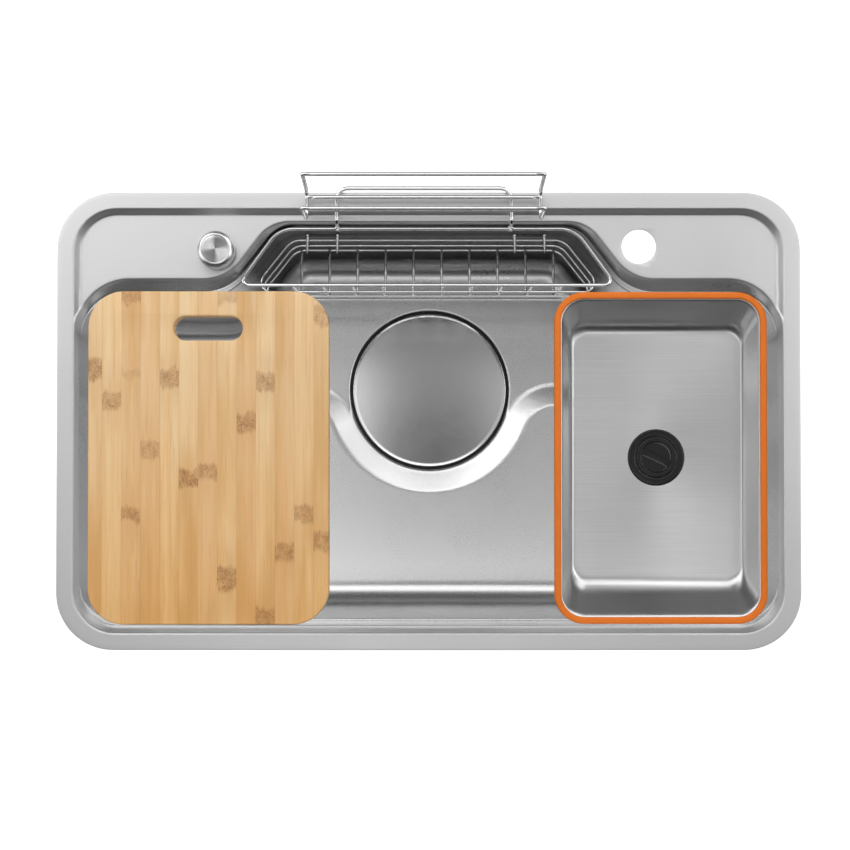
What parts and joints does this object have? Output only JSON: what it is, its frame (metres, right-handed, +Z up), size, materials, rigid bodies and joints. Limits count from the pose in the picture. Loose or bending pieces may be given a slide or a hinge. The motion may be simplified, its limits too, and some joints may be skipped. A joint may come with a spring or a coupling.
{
  "type": "kitchen sink",
  "caption": "Drop-in stainless steel kitchen sink: wide rim, tap deck, stepped floor with covered drain and knob control, wire basket and rack, cutting board and plugged prep pan.",
  "frame": {"origin": "centre of the worktop cut-out, on the worktop's top face, under the rim's seal", "axes": "+X to the right seen from the user, +Y to the back (tap side), +Z up"},
  "size_m": [0.78, 0.487, 0.4596],
  "materials": {
    "stainless": "satin pressed sheet",
    "brushed_cover": "fine brushed",
    "pan_steel": "fine brushed",
    "spun_steel": "spun face",
    "chrome_knob": "polished",
    "chrome_wire": "polished wire",
    "dark_plate": "satin",
    "zinc_steel": "zinc plated",
    "black_plastic": "moulded",
    "white_plastic": "moulded",
    "black_rubber": "matte",
    "grey_pad": "matte",
    "orange_silicone": "soft satin",
    "bamboo": "oiled"
  },
  "bodies": {
    "sink": {"sink_top": "stainless", "bowl_shell": "stainless", "rim_seal": "black_rubber", "clip_brackets": "zinc_steel", "mounting_clips": "zinc_steel", "clip_screws": "zinc_steel", "sound_pads": "grey_pad", "drain_gasket": "black_rubber", "drain_body": "black_plastic", "drain_washer": "black_rubber", "drain_lock_ring": "black_plastic", "stopper_guide": "black_plastic", "drain_cable_gland": "black_plastic", "outlet_washer": "black_rubber", "outlet_tailpiece": "white_plastic", "outlet_nut": "black_plastic", "control_gasket": "black_rubber", "control_body": "black_plastic", "control_washer": "black_rubber", "control_nut": "black_plastic", "control_housing": "black_plastic", "control_cable_gland": "black_plastic"},
    "knob": {"control_knob": "chrome_knob", "knob_face": "spun_steel", "knob_screw": "zinc_steel", "control_spindle": "zinc_steel", "control_drum": "white_plastic"},
    "stopper": {"stopper_disc": "stainless", "stopper_seal": "black_rubber", "stopper_stem": "zinc_steel"},
    "strainer": {"strainer_cup": "stainless", "strainer_handle": "stainless"},
    "cover": {"drain_cover": "brushed_cover", "cover_feet": "black_rubber"},
    "basket": {"basket_rim": "chrome_wire", "basket_loops": "chrome_wire", "basket_floor_wires": "chrome_wire", "basket_front_ribs": "chrome_wire", "basket_uprights": "chrome_wire", "basket_hanger_plates": "dark_plate"},
    "rack": {"rack_rails": "chrome_wire", "rack_end_wires": "chrome_wire", "rack_support_loop": "chrome_wire", "rack_hook_saddles": "chrome_wire"},
    "board": {"cutting_board": "bamboo"},
    "pan": {"prep_pan": "pan_steel", "pan_rim_seal": "orange_silicone", "pan_waste_flange": "black_plastic", "pan_waste_gasket": "black_rubber", "pan_waste_nut": "black_plastic"},
    "plug": {"pan_plug": "black_plastic", "plug_seal": "black_rubber"}
  },
  "joints": [
    {"name": "knob_turn", "type": "hinge", "parent": "sink", "child": "knob", "pos_m": [-0.2226, 0.1784, 0], "axis": [0, 0, -1], "range_deg": [0, 90]},
    {"name": "stopper_lift", "type": "slide", "parent": "sink", "child": "stopper", "axis": [0, 0, 1], "range_m": [0, 0.01]},
    {"name": "strainer_lift", "type": "slide", "parent": "sink", "child": "strainer", "axis": [0, 0, 1], "range_m": [0, 0.3]},
    {"name": "cover_lift", "type": "slide", "parent": "strainer", "child": "cover", "axis": [0, 0, 1], "range_m": [0, 0.26]},
    {"name": "basket_lift", "type": "slide", "parent": "sink", "child": "basket", "axis": [0, 0, 1], "range_m": [0, 0.16]},
    {"name": "rack_lift", "type": "slide", "parent": "basket", "child": "rack", "axis": [0, 0, 1], "range_m": [0, 0.1]},
    {"name": "board_lift", "type": "slide", "parent": "sink", "child": "board", "axis": [0, 0, 1], "range_m": [0, 0.08]},
    {"name": "pan_lift", "type": "slide", "parent": "sink", "child": "pan", "axis": [0, 0, 1], "range_m": [0, 0.12]},
    {"name": "plug_lift", "type": "slide", "parent": "pan", "child": "plug", "axis": [0, 0, 1], "range_m": [0, 0.06]}
  ],
  "couplings": [
    {"joint": "stopper_lift", "follows": "knob_turn", "m_per_rad": 0.006366}
  ]
}
